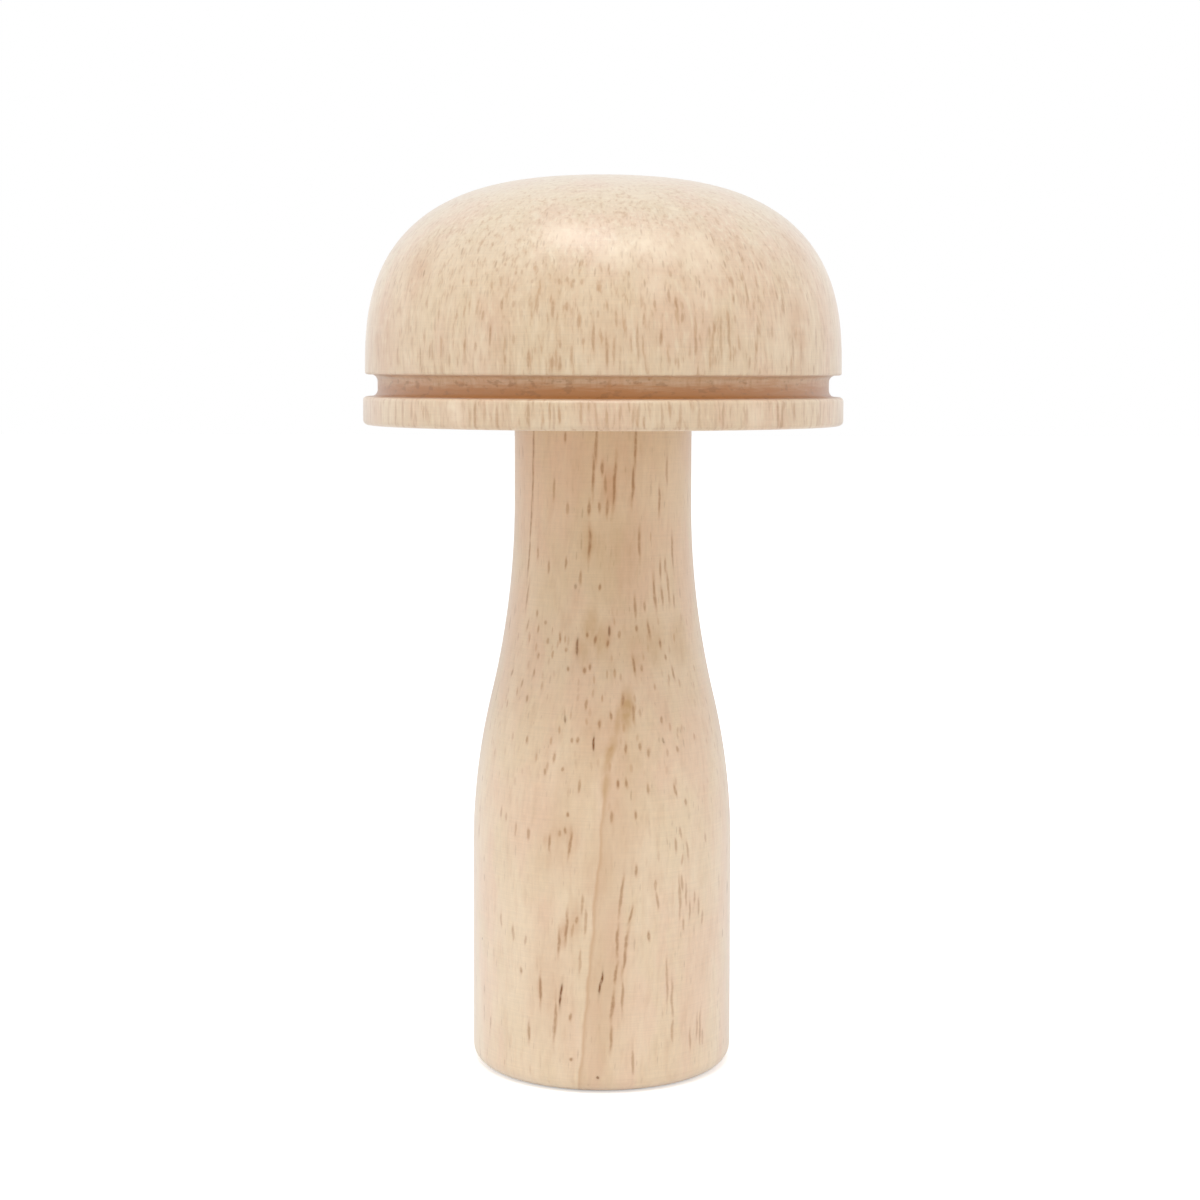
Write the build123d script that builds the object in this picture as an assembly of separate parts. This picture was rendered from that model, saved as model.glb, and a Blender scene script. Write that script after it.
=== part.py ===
# A darning mushroom in three pieces: a turned wooden cap, a bottle-shaped wooden handle,
# and the fluted dowel that is glued into both.
# Millimetres. The origin is the middle of the foot, and +Z runs up the turning axis.
from build123d import *
import os
from math import cos, pi, radians, sin, tan

# Handle
handle_height = 77.8
body_diameter = 31.5
body_height = 26.4  # the straight body, from the foot to where the side starts to draw in
neck_diameter = 21.4
neck_length = 9.0  # the straight neck under the cap
hollow_share = 0.56  # of the side between neck and body: hollow above this, rounded below it
foot_round = 2.0

# Cap, from its underside up
rim_diameter = 57.8
rim_thickness = 3.4
rim_bottom_round = 0.6
rim_top_round = 0.5
groove_depth = 1.75  # measured in from the rim
groove_height = 2.6
groove_round = 0.8  # in both corners of the groove's floor
lip_round = 0.3  # where the dome overhangs the groove
dome_diameter = 57.3
dome_rise = 23.6
dome_fullness = 2.73  # 2 would be an ellipse, and more is squarer at the shoulder
dome_points = 12

# Joint dowel
dowel_diameter = 10.0
dowel_length = 40.0
dowel_in_cap = 15.0
dowel_chamfer = 1.0
flute_count = 18
flute_width = 0.8
flute_depth = 0.3

# Bores for the dowel, in the cap and in the handle
glue_gap = 0.05  # all round the dowel
glue_pocket = 1.0  # past each end of the dowel
bore_countersink = 0.5
drill_point_angle = 118.0  # degrees across the point
cut_overrun = 1.0

# A round takes at most this share of the shorter side that it is cut from
round_share = 0.45


def turned(outline):
    """Spins a flat outline, drawn as radius across and height up, about the turning axis."""
    return revolve(Plane.XZ * outline, Axis.Z)


def softened(outline, corner, radius, shorter_side):
    """Rounds the corner of a flat outline that lies at the given point."""
    vertex = outline.vertices().sort_by_distance(corner)[0]
    return fillet(vertex, min(radius, shorter_side * round_share))


def drilled(depth):
    """The space a drill leaves: mouth at height zero with its countersink, pointed end at the top."""
    bore_radius = dowel_diameter / 2 + glue_gap
    point_height = bore_radius / tan(radians(drill_point_angle / 2))
    outline = Polyline(
        (0, -cut_overrun),
        (bore_radius + bore_countersink + cut_overrun, -cut_overrun),
        (bore_radius, bore_countersink),
        (bore_radius, depth),
        (0, depth + point_height),
        close=True,
    )
    return turned(make_face(outline))


def dome_curve(radius, base):
    """The dome's side view from its widest point to the crown, by the superellipse formula."""
    power = 2 / dome_fullness
    points = [(radius, base)]
    for step in range(1, dome_points):
        angle = pi / 2 * step / dome_points
        points.append((radius * cos(angle) ** power, base + dome_rise * sin(angle) ** power))
    points.append((0, base + dome_rise))
    return Spline(points, tangents=[(0, 1), (-1, 0)])


def make_cap():
    """The domed cap with its rim, the groove above the rim, and a blind bore in its underside."""
    rim_radius = rim_diameter / 2
    floor_radius = rim_radius - groove_depth
    dome_radius = dome_diameter / 2
    underside = handle_height
    rim_top = underside + rim_thickness
    lip = rim_top + groove_height
    side = Polyline(
        (0, lip + dome_rise),
        (0, underside),
        (rim_radius, underside),
        (rim_radius, rim_top),
        (floor_radius, rim_top),
        (floor_radius, lip),
        (dome_radius, lip),
    )
    outline = make_face([side, dome_curve(dome_radius, lip)])
    outline = softened(outline, (rim_radius, underside), rim_bottom_round, rim_thickness)
    outline = softened(outline, (rim_radius, rim_top), rim_top_round, rim_thickness)
    shorter = min(groove_height, groove_depth)
    outline = softened(outline, (floor_radius, rim_top), groove_round, shorter)
    outline = softened(outline, (floor_radius, lip), groove_round, shorter)
    outline = softened(outline, (dome_radius, lip), lip_round, shorter)
    return turned(outline) - Pos(0, 0, underside) * drilled(dowel_in_cap + glue_pocket)


def make_handle():
    """The handle: round-edged foot, straight body, a side that draws in, and a straight neck."""
    body_radius = body_diameter / 2
    body_top = Vector(body_radius, body_height)
    neck_foot = Vector(neck_diameter / 2, handle_height - neck_length)
    turn_point = neck_foot + (body_top - neck_foot) * hollow_share
    lower = Polyline((0, handle_height), (0, 0), (body_radius, 0), body_top)
    rounded = TangentArc(body_top, turn_point, tangent=(0, 1))
    hollow = TangentArc(neck_foot, turn_point, tangent=(0, -1))
    upper = Polyline(neck_foot, (neck_diameter / 2, handle_height), (0, handle_height))
    outline = make_face([lower, rounded, hollow, upper])
    outline = softened(outline, (body_radius, 0), foot_round, body_radius)
    depth = dowel_length - dowel_in_cap + glue_pocket
    return turned(outline) - Pos(0, 0, handle_height) * Rot(180, 0, 0) * drilled(depth)


def make_joint_dowel():
    """The straight-fluted dowel with chamfered ends, half hidden in each piece."""
    radius = dowel_diameter / 2
    flute_radius = flute_width / 2
    flutes = PolarLocations(radius + flute_radius - flute_depth, flute_count) * Circle(flute_radius)
    fluted = extrude(Circle(radius) - flutes, dowel_length)
    blank = turned(
        make_face(
            Polyline(
                (0, 0),
                (radius - dowel_chamfer, 0),
                (radius, dowel_chamfer),
                (radius, dowel_length - dowel_chamfer),
                (radius - dowel_chamfer, dowel_length),
                (0, dowel_length),
                close=True,
            )
        )
    )
    return Pos(0, 0, handle_height + dowel_in_cap - dowel_length) * (fluted & blank)


os.makedirs("parts", exist_ok=True)
export_step(make_cap(), "parts/cap.step")
export_step(make_handle(), "parts/handle.step")
export_step(make_joint_dowel(), "parts/joint_dowel.step")
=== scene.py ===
from functools import partial
from math import asin, cos, hypot, pi, radians, sin, sqrt

import bmesh
import bpy
from bpy.props import FloatProperty, FloatVectorProperty, IntProperty, PointerProperty
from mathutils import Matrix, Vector


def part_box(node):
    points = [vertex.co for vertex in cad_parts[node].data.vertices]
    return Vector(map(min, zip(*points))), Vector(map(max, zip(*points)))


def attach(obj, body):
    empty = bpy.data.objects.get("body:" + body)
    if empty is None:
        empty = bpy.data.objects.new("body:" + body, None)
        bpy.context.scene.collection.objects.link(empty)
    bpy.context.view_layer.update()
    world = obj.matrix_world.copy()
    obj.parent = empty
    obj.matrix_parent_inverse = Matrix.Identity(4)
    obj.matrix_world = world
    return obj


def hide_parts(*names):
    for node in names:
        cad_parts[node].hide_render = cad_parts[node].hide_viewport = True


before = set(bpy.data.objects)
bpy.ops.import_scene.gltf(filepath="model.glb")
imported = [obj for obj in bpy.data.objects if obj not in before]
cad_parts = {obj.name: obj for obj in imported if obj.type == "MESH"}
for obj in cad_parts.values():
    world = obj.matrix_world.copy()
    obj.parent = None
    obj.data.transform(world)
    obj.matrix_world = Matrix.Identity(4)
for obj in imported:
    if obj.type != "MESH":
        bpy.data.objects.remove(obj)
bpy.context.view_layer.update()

bl_info = {
    "name": "Darning Mushroom",
    "version": (1, 0, 0),
    "blender": (4, 5, 0),
    "location": "View3D > Sidebar > Darning Mushroom",
    "description": "Turns a wooden darning mushroom and stands it on a white stage",
    "category": "Add Mesh",
}

MM = 0.001
TOUCH = 0.002 * MM  # two places nearer than this are the same place

cap_low, cap_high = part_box("cap")
handle_low, handle_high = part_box("handle")


def seen(red, green, blue):
    """A colour as a screen shows it, from 0 to 255, turned into the values that light is worked out in."""
    shares = [level / 255 for level in (red, green, blue)]
    return [(s / 12.92 if s <= 0.04045 else ((s + 0.055) / 1.055) ** 2.4) for s in shares]


def length(name, description, default, least=0):
    return FloatProperty(
        name=name, description=description, default=default, min=least, unit="LENGTH", precision=5
    )


def number(name, description, default):
    return FloatProperty(name=name, description=description, default=default)


def angle_in_degrees(name, description, degrees):
    return FloatProperty(name=name, description=description, default=radians(degrees), subtype="ANGLE")


def count(name, description, default, least=1):
    return IntProperty(name=name, description=description, default=default, min=least)


def colour(name, description, default):
    return FloatVectorProperty(
        name=name, description=description, default=default, size=3, min=0, max=1, subtype="COLOR"
    )


# Sizes and colours that a user would change

class TurningSizes(bpy.types.PropertyGroup):
    """How finely the two wooden pieces are turned, and the bore for the dowel in both."""

    sides: count("Sides", "Faces round a turned piece", 256, 24)
    round_steps: count("Steps in a Round", "Faces across a rounded edge", 7)
    bore: length("Bore", "Diameter of the bore for the dowel", 10.1 * MM)
    bore_countersink: length("Bore Countersink", "Width of the bevel at the bore's mouth", 0.5 * MM)
    drill_angle: angle_in_degrees("Drill Point", "Angle across the bore's pointed end", 118)


class CapSizes(bpy.types.PropertyGroup):
    """The domed cap with its rim and band groove."""

    rim: length("Rim", "Diameter of the rim", cap_high.x - cap_low.x)
    underside: length("Underside", "Height of the cap's underside above the foot", cap_low.z)
    crown: length("Crown", "Height of the dome's highest point above the foot", cap_high.z)
    rim_thickness: length("Rim Thickness", "Height of the rim's straight side", 3.4 * MM)
    rim_bottom_round: length("Rim Bottom Round", "Radius on the rim's lower edge", 0.6 * MM)
    rim_top_round: length("Rim Top Round", "Radius on the rim's upper edge", 0.5 * MM)
    groove_depth: length("Groove Depth", "Depth of the band groove, measured in from the rim", 1.75 * MM)
    groove_height: length("Groove Height", "Height of the band groove", 2.6 * MM)
    groove_round: length("Groove Round", "Radius in the corners of the groove's floor", 0.8 * MM)
    lip_round: length("Lip Round", "Radius where the dome overhangs the groove", 0.3 * MM)
    dome: length("Dome", "Diameter of the dome at its foot", 57.3 * MM)
    dome_fullness: number("Dome Fullness", "2 is an ellipse, and more is squarer at the shoulder", 2.73)
    dome_steps: count("Dome Steps", "Rings of faces up the dome", 56)
    bore_depth: length("Bore Depth", "Depth of the bore, without its point", 16 * MM)


class HandleSizes(bpy.types.PropertyGroup):
    """The bottle-shaped handle."""

    top: length("Top", "Height of the handle", handle_high.z)
    body: length("Body", "Diameter of the straight body", handle_high.x - handle_low.x)
    body_height: length("Body Height", "Height at which the side starts to draw in", 26.4 * MM)
    neck: length("Neck", "Diameter of the straight neck", 21.4 * MM)
    neck_length: length("Neck Length", "Length of the straight neck under the cap", 9 * MM)
    hollow_share: number("Hollow Share", "Share of the side, from the neck down, that is hollow", 0.56)
    foot_round: length("Foot Round", "Radius on the edge of the foot", 2 * MM)
    side_steps: count("Side Steps", "Rings of faces in each of the side's arcs", 28)
    bore_depth: length("Bore Depth", "Depth of the bore, without its point", 26 * MM)


class WoodColours(bpy.types.PropertyGroup):
    """The colours of the pale hardwood."""

    pale: colour("Pale", "The lightest streaks", seen(247, 226, 197))
    cream: colour("Cream", "The palest wood", seen(242, 218, 187))
    straw: colour("Straw", "The greener patches", seen(237, 213, 179))
    rose: colour("Rose", "The warmer patches", seen(239, 208, 178))
    late_wood: colour("Late Wood", "The darker edge of a growth ring", seen(212, 172, 132))
    vessel: colour("Vessel", "The open pores that show as lines", seen(150, 94, 22))
    dark_vessel: colour("Dark Vessel", "The few pores that hold dark matter", seen(130, 78, 14))
    # Painted shade: the neck is multiplied darker and warmer where the cap shades it, fading out toward the
    # foot.
    neck_painted_shade: colour("Neck Tone", "What the wood is multiplied by at the neck", (0.87, 0.82, 0.755))
    cap_tone: colour("Cap Tone", "What the wood is multiplied by on the cap", (0.87, 0.835, 0.78))
    # Painted sheen: a whiter tone toward the crown stands in for the overhead lamp's sheen on the dome's
    # top.
    crown_painted_sheen: colour("Crown Tone", "What the wood is multiplied by at the crown", (0.866, 0.888, 0.9))
    # Painted shade: this tan darkens the groove where the overhanging dome shades it, and also colours the
    # cap's tan patches.
    tan_and_painted_shade: colour("Burnish", "The wood that the tool has rubbed dark in the groove", seen(188, 122, 52))
    stain: colour("Stain", "The orange brown beside some pores", seen(206, 156, 112))
    rust: colour("Rust", "The faint pores", seen(176, 108, 30))
    gold: colour("Gold", "The olive gold of the older wood", seen(198, 156, 104))


class StageSizes(bpy.types.PropertyGroup):
    """Floor, light and camera."""

    floor: length("Floor", "Width of the floor", 5.0)
    floor_lift: number("Floor Lift", "White added to the floor in the camera's view", 0.45)
    front_light: number("Front Light", "Strength of the light from the front", 0.35)
    side_light: number("Side Light", "Strength of the light from the sides", 1.15)
    top_light: number("Top Light", "Strength of the light from above", 0.72)
    lamp_power: number("Lamp Power", "Power of the lamp overhead, in watts", 8.5)
    lamp_distance: length("Lamp Distance", "From the cap to the lamp overhead", 1.5)
    lamp_width: length("Lamp Width", "Side to side", 0.95)
    lamp_depth: length("Lamp Depth", "Front to back", 0.5)
    camera_distance: length("Camera Distance", "In front of the turning axis", 275.6 * MM)
    camera_height: length("Camera Height", "Above the floor", 84.8 * MM)
    camera_aside: length("Camera Aside", "Right of the axis", -0.4 * MM, least=-1)
    camera_pitch: angle_in_degrees("Pitch", "Looking down", 4.36)
    camera_roll: angle_in_degrees("Roll", "Turned about the view", -0.15)
    lens: number("Lens", "Focal length in millimetres", 68.25)
    camera_shift: number("Shift", "Share of the picture's height", -0.05)


# Turning a piece

def start_blank(name, radius, low, high):
    """Adds a closed cylinder on the turning axis and opens it for shaping."""
    turning = bpy.context.scene.turning_sizes
    bpy.ops.object.select_all(action="DESELECT")
    bpy.ops.mesh.primitive_cylinder_add(
        vertices=turning.sides, radius=radius, depth=high - low, location=(0, 0, (low + high) / 2)
    )
    piece = bpy.context.object
    piece.name = name
    piece.data.name = name
    bpy.ops.object.transform_apply(location=True, rotation=False, scale=False)
    bpy.ops.object.mode_set(mode="EDIT")
    return piece


def select_end(piece, height):
    """Selects the flat end of the piece at that height, and nothing else."""
    bpy.ops.mesh.select_mode(type="FACE")
    bpy.ops.mesh.select_all(action="DESELECT")
    mesh = bmesh.from_edit_mesh(piece.data)
    for face in mesh.faces:
        if len(face.verts) > 4 and abs(face.calc_center_median().z - height) < TOUCH:
            face.select_set(True)
    bmesh.update_edit_mesh(piece.data)


def carry_through(places):
    """Extrudes the selected end through a list of radii and heights."""
    for (start_radius, start_height), (radius, height) in zip(places, places[1:]):
        bpy.ops.mesh.extrude_region_move(TRANSFORM_OT_translate={"value": (0, 0, height - start_height)})
        share = radius / start_radius
        bpy.ops.transform.resize(value=(share, share, 1), center_override=(0, 0, height))


def close_end(start_height, height):
    """Brings the selected end together in one point on the axis."""
    bpy.ops.mesh.extrude_region_move(TRANSFORM_OT_translate={"value": (0, 0, height - start_height)})
    bpy.ops.mesh.merge(type="CENTER")


def round_ring(piece, radius, height, size):
    """Rounds the ring of edges at that radius and height."""
    turning = bpy.context.scene.turning_sizes
    bpy.ops.mesh.select_mode(type="EDGE")
    bpy.ops.mesh.select_all(action="DESELECT")
    mesh = bmesh.from_edit_mesh(piece.data)
    for edge in mesh.edges:
        if all(hypot(hypot(v.co.x, v.co.y) - radius, v.co.z - height) < TOUCH for v in edge.verts):
            edge.select_set(True)
    bmesh.update_edit_mesh(piece.data)
    bpy.ops.mesh.bevel(
        offset=size, offset_type="OFFSET", segments=turning.round_steps, profile=0.5, affect="EDGES"
    )


def drill(piece, end_radius, mouth, depth, way):
    """Sinks the blind bore into an end of the piece; way is 1 up and -1 down."""
    turning = bpy.context.scene.turning_sizes
    bore = turning.bore / 2
    point = bore * cos(turning.drill_angle / 2) / sin(turning.drill_angle / 2)
    select_end(piece, mouth)
    bottom = mouth + way * depth
    places = [
        (end_radius, mouth),
        (bore + turning.bore_countersink, mouth),
        (bore, mouth + way * turning.bore_countersink),
        (bore, bottom),
    ]
    carry_through(places)
    close_end(bottom, bottom + way * point)


def finish_piece(piece, node, material):
    """Closes edit mode, smooths the turned faces, and puts the piece in the place of its node."""
    bpy.ops.mesh.select_all(action="SELECT")
    bpy.ops.mesh.normals_make_consistent(inside=False)
    bpy.ops.object.mode_set(mode="OBJECT")
    bpy.ops.object.shade_smooth_by_angle(angle=radians(32))
    piece.data.materials.clear()
    piece.data.materials.append(material)
    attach(piece, "root")
    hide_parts(node)


def dome_places(sizes, lip):
    """The dome's side from the lip up to the last ring below the crown, by the superellipse formula."""
    power = 2 / sizes.dome_fullness
    rise = sizes.crown - lip
    places = []
    for step in range(sizes.dome_steps):
        angle = pi / 2 * step / sizes.dome_steps
        places.append((sizes.dome / 2 * cos(angle) ** power, lip + rise * sin(angle) ** power))
    return places


def turn_cap():
    """The domed cap with its rim, the groove above the rim, and a blind bore in its underside."""
    sizes = bpy.context.scene.cap_sizes
    rim = sizes.rim / 2
    floor = rim - sizes.groove_depth
    dome = sizes.dome / 2
    rim_top = sizes.underside + sizes.rim_thickness
    lip = rim_top + sizes.groove_height
    piece = start_blank("turned_cap", rim, sizes.underside, rim_top)
    select_end(piece, rim_top)
    places = [(rim, rim_top), (floor, rim_top), (floor, lip)] + dome_places(sizes, lip)
    carry_through(places)
    close_end(places[-1][1], sizes.crown)
    drill(piece, rim, sizes.underside, sizes.bore_depth, 1)
    round_ring(piece, rim, sizes.underside, sizes.rim_bottom_round)
    round_ring(piece, rim, rim_top, sizes.rim_top_round)
    round_ring(piece, floor, rim_top, sizes.groove_round)
    round_ring(piece, floor, lip, sizes.groove_round)
    round_ring(piece, dome, lip, sizes.lip_round)
    return piece


def dome_radius(sizes, height):
    """The dome's radius at a height, or a small one at the crown, because what is laid is divided by it."""
    lip = sizes.underside + sizes.rim_thickness + sizes.groove_height
    share = max(0.0, (height - lip) / (sizes.crown - lip))
    return sizes.dome / 2 * max(0.1, 1 - share**sizes.dome_fullness) ** (1 / sizes.dome_fullness)


def side_arcs(sizes):
    """Radius, first height and last height of the rounded arc, from the body up, and of the hollow arc,
    from the neck down."""
    body, neck = sizes.body / 2, sizes.neck / 2
    neck_foot = sizes.top - sizes.neck_length
    way = Vector((body - neck, sizes.body_height - neck_foot))
    turn = Vector((neck, neck_foot)) + way * sizes.hollow_share
    arcs = []
    for start_radius, start_height in ((body, sizes.body_height), (neck, neck_foot)):
        across = turn.x - start_radius
        rise = turn.y - start_height
        radius = (across**2 + rise**2) / (2 * abs(across))
        arcs.append((radius, start_height, turn.y))
    return arcs


def handle_radius(sizes, height):
    """The handle's radius at a height on its side."""
    (rounded, body_height, turn_height), (hollow, neck_foot, _) = side_arcs(sizes)
    if height <= body_height:
        return sizes.body / 2
    if height <= turn_height:
        return sizes.body / 2 - rounded + sqrt(rounded**2 - (height - body_height) ** 2)
    if height <= neck_foot:
        return sizes.neck / 2 + hollow - sqrt(hollow**2 - (neck_foot - height) ** 2)
    return sizes.neck / 2


def turn_handle():
    """The handle: round-edged foot, straight body, a side that draws in, a straight neck, and a bore."""
    sizes = bpy.context.scene.handle_sizes
    body, neck = sizes.body / 2, sizes.neck / 2
    (_, body_height, turn_height), (_, neck_foot, _) = side_arcs(sizes)
    piece = start_blank("turned_handle", body, 0, body_height)
    places = [(body, body_height)]
    for start, end in ((body_height, turn_height), (turn_height, neck_foot)):
        for step in range(1, sizes.side_steps + 1):
            height = start + (end - start) * step / sizes.side_steps
            places.append((handle_radius(sizes, height), height))
    places.append((neck, sizes.top))
    select_end(piece, body_height)
    carry_through(places)
    drill(piece, neck, sizes.top, sizes.bore_depth, -1)
    round_ring(piece, body, 0, sizes.foot_round)
    return piece


# Nodes

def tree_of(*values):
    """The node tree in which the sockets among these values are."""
    return next(value.id_data for value in values if isinstance(value, bpy.types.NodeSocket))


def feed(socket, value):
    """Links another socket into this one, or sets its value."""
    if isinstance(value, bpy.types.NodeSocket):
        value.id_data.links.new(value, socket)
    else:
        socket.default_value = value


def feed_by_name(node, **named):
    """Feeds the inputs named, with _ for a space."""
    for key, value in named.items():
        feed(node.inputs[key.replace("_", " ")], value)


def add(kind, *values, settings=None, **named):
    """Adds a shader node, and feeds its inputs in order or by name."""
    node = tree_of(*values, *named.values()).nodes.new("ShaderNode" + kind)
    for key, value in (settings or {}).items():
        setattr(node, key, value)
    for socket, value in zip(node.inputs, values):
        feed(socket, value)
    feed_by_name(node, **named)
    return node


def work(operation, *values):
    """One step of arithmetic on numbers."""
    return add("Math", *values, settings={"operation": operation}).outputs[0]


def product(first, *others):
    """Numbers multiplied in order."""
    for other in others:
        first = work("MULTIPLY", first, other)
    return first


def vector_work(operation, *values):
    """One step of arithmetic on vectors."""
    return add("VectorMath", *values, settings={"operation": operation}).outputs[0]


def scaled(vector, amount):
    """A vector times a number."""
    return add("VectorMath", vector, settings={"operation": "SCALE"}, Scale=amount).outputs[0]


def from_axis(vector):
    """The distance from the upright axis."""
    flat = vector_work("MULTIPLY", vector, (1, 1, 0))
    return add("VectorMath", flat, settings={"operation": "LENGTH"}).outputs["Value"]


def ramp(value, low, high, to_low=0.0, to_high=1.0):
    """A smooth step from one level to another. It needs no clamp, which would only add a node."""
    settings = {"interpolation_type": "SMOOTHSTEP", "clamp": False}
    return add("MapRange", value, low, high, to_low, to_high, settings=settings).outputs[0]


def within(value, start, full, ebb, end):
    """1 between full and ebb, fading to 0 at start and at end."""
    return product(ramp(value, start, full), ramp(value, end, ebb))


def slope(value, low, high, to_low, to_high):
    """A straight step from one level to another."""
    return add("MapRange", value, low, high, to_low, to_high).outputs[0]


def tint(factor, first, second, mode="MIX"):
    """Mixes two colours."""
    node = tree_of(factor, first, second).nodes.new("ShaderNodeMix")
    node.data_type = "RGBA"
    node.blend_type = mode
    feed(node.inputs[0], factor)
    for socket, value in ((node.inputs[6], first), (node.inputs[7], second)):
        feed(socket, value if isinstance(value, bpy.types.NodeSocket) else (*value, 1))
    return node.outputs[2]


def group(name, output, **inputs):
    """Starts a node group that takes a vector and the inputs named, numbers as floats and vectors as
    tuples."""
    tree = bpy.data.node_groups.new(name, "ShaderNodeTree")
    tree.interface.new_socket("Vector", in_out="INPUT", socket_type="NodeSocketVector")
    for key, default in inputs.items():
        kind = "NodeSocketFloat" if isinstance(default, float) else "NodeSocketVector"
        socket = tree.interface.new_socket(key.replace("_", " "), in_out="INPUT", socket_type=kind)
        socket.default_value = default
    kind = "NodeSocketVector" if output == "Vector" else "NodeSocketFloat"
    tree.interface.new_socket(output, in_out="OUTPUT", socket_type=kind)
    return tree.nodes.new("NodeGroupInput").outputs, tree.nodes.new("NodeGroupOutput").inputs[0]


def place_group(name, **named):
    """Places a node group with its own values, and gives its output."""
    node = tree_of(*named.values()).nodes.new("ShaderNodeGroup")
    node.node_tree = bpy.data.node_groups[name]
    feed_by_name(node, **named)
    return node.outputs[0]


def drift(space, detail, reach, amount):
    """A soft shift that varies through a space."""
    noise = add("TexNoise", Vector=space, Scale=1.0, Detail=detail, Roughness=0.5)
    shift = vector_work("SUBTRACT", noise.outputs["Color"], (0.5, 0.5, 0.5))
    return scaled(vector_work("MULTIPLY", shift, reach), amount)


def make_grain_space():
    """Object coordinates turned into millimetres in the tree the piece was cut from, with wavy grain."""
    given, made = group(
        "Grain Space", "Vector", Cut_From=(0, 0, 0), Lean=(0, 0, 0), Waviness=0.6, Raggedness=0.1
    )
    grain = add("Mapping", given["Vector"], given["Cut From"], given["Lean"], (1 / MM,) * 3).outputs[0]
    for density, reach, amount in (
        ((0.07, 0.07, 0.035), (2, 2, 0), "Waviness"),
        ((1.5, 1.5, 0.7), (2, 2, 3), "Raggedness"),
    ):
        shift = drift(vector_work("MULTIPLY", grain, density), 2.0, reach, given[amount])
        grain = vector_work("ADD", grain, shift)
    feed(made, grain)


def stretched(vector, width, reach):
    """The vector divided by a width across the grain and a reach along it."""
    thin = work("DIVIDE", 1.0, width)
    long = work("DIVIDE", 1.0, reach)
    scale = add("CombineXYZ", thin, thin, long).outputs[0]
    return vector_work("MULTIPLY", vector, scale)


def make_vessels():
    """Open pores: thin threads along the grain, which show as lines or dots as the surface cuts them."""
    given, made = group("Vessels", "Mask", Spacing=0.5, Reach=20.0, Width=0.2, Amount=0.5)
    space = stretched(given["Vector"], given["Spacing"], given["Reach"])
    cells = add("TexVoronoi", Vector=space, Scale=1.0)
    radius = work("DIVIDE", given["Width"], given["Spacing"])
    shape = ramp(cells.outputs["Distance"], radius, work("MULTIPLY", radius, 0.35))
    chance = add("SeparateColor", cells.outputs["Color"]).outputs[0]
    rest = work("SUBTRACT", 1.0, given["Amount"])
    kept = slope(chance, rest, 1.0, 0.35, 1.0)
    there = work("GREATER_THAN", chance, rest)
    feed(made, product(shape, kept, there))


def vessels(vector, spacing, reach, width, amount, darkness):
    """Open pores of one kind, and how dark they are."""
    mask = place_group("Vessels", Vector=vector, Spacing=spacing, Reach=reach, Width=width, Amount=amount)
    return work("MULTIPLY", mask, darkness)


def make_streaks():
    """Soft streaks along the grain, from 0 to 1."""
    given, made = group("Streaks", "Value", Width=0.4, Reach=6.0, Detail=2.0)
    space = stretched(given["Vector"], given["Width"], given["Reach"])
    noise = add("TexNoise", Vector=space, Scale=1.0, Detail=given["Detail"], Roughness=0.55)
    feed(made, noise.outputs[0])


def soft_streaks(vector, width, reach, detail=2.0):
    """Soft streaks of one size."""
    return place_group("Streaks", Vector=vector, Width=width, Reach=reach, Detail=detail)


def make_growth_rings():
    """The darker late wood at the end of each growth ring, round a pith that lies off the turning axis."""
    given, made = group("Growth Rings", "Mask", Pith=(0, 0, 0), Spacing=3.0, Wobble=0.4)
    distance = from_axis(vector_work("SUBTRACT", given["Vector"], given["Pith"]))
    slow = vector_work("MULTIPLY", given["Vector"], (0.12, 0.12, 0.02))
    noise = add("TexNoise", Vector=slow, Scale=1.0, Detail=2.0).outputs[0]
    shift = work("MULTIPLY", work("SUBTRACT", noise, 0.5), given["Wobble"])
    rings = work("ADD", work("DIVIDE", distance, given["Spacing"]), shift)
    share = work("FRACT", rings)
    rise = ramp(share, 0.35, 0.92)
    fall = ramp(share, 0.93, 1.0, 1.0, 0.0)
    feed(made, product(rise, fall))


def make_turning_marks():
    """Hairlines that run round the piece, left by the lathe and the sandpaper."""
    given, made = group("Turning Marks", "Value", Spacing=0.2, Reach=8.0)
    space = stretched(given["Vector"], given["Reach"], given["Spacing"])
    noise = add("TexNoise", Vector=space, Scale=1.0, Detail=2.0, Roughness=0.6)
    feed(made, noise.outputs[0])


def turning_marks(vector, spacing, reach):
    """Hairlines of one size."""
    return place_group("Turning Marks", Vector=vector, Spacing=spacing, Reach=reach)


def make_unrolled():
    """The side of a turned piece laid flat: millimetres round from the front, and up."""
    given, made = group("Unrolled Side", "Vector", Radius=13.0, Unsteadiness=0.17)
    parts = add("SeparateXYZ", given["Vector"]).outputs
    angle = work("ARCTAN2", parts[0], work("MULTIPLY", parts[1], -1.0))
    round_way = work("MULTIPLY", angle, given["Radius"])
    flat = add("CombineXYZ", round_way, work("DIVIDE", parts[2], MM), 0.0).outputs[0]
    space = vector_work("MULTIPLY", flat, (0.5, 0.3, 0))
    shift = drift(space, 4.0, (4, 3, 0), given["Unsteadiness"])
    feed(made, vector_work("ADD", flat, shift))


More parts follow.
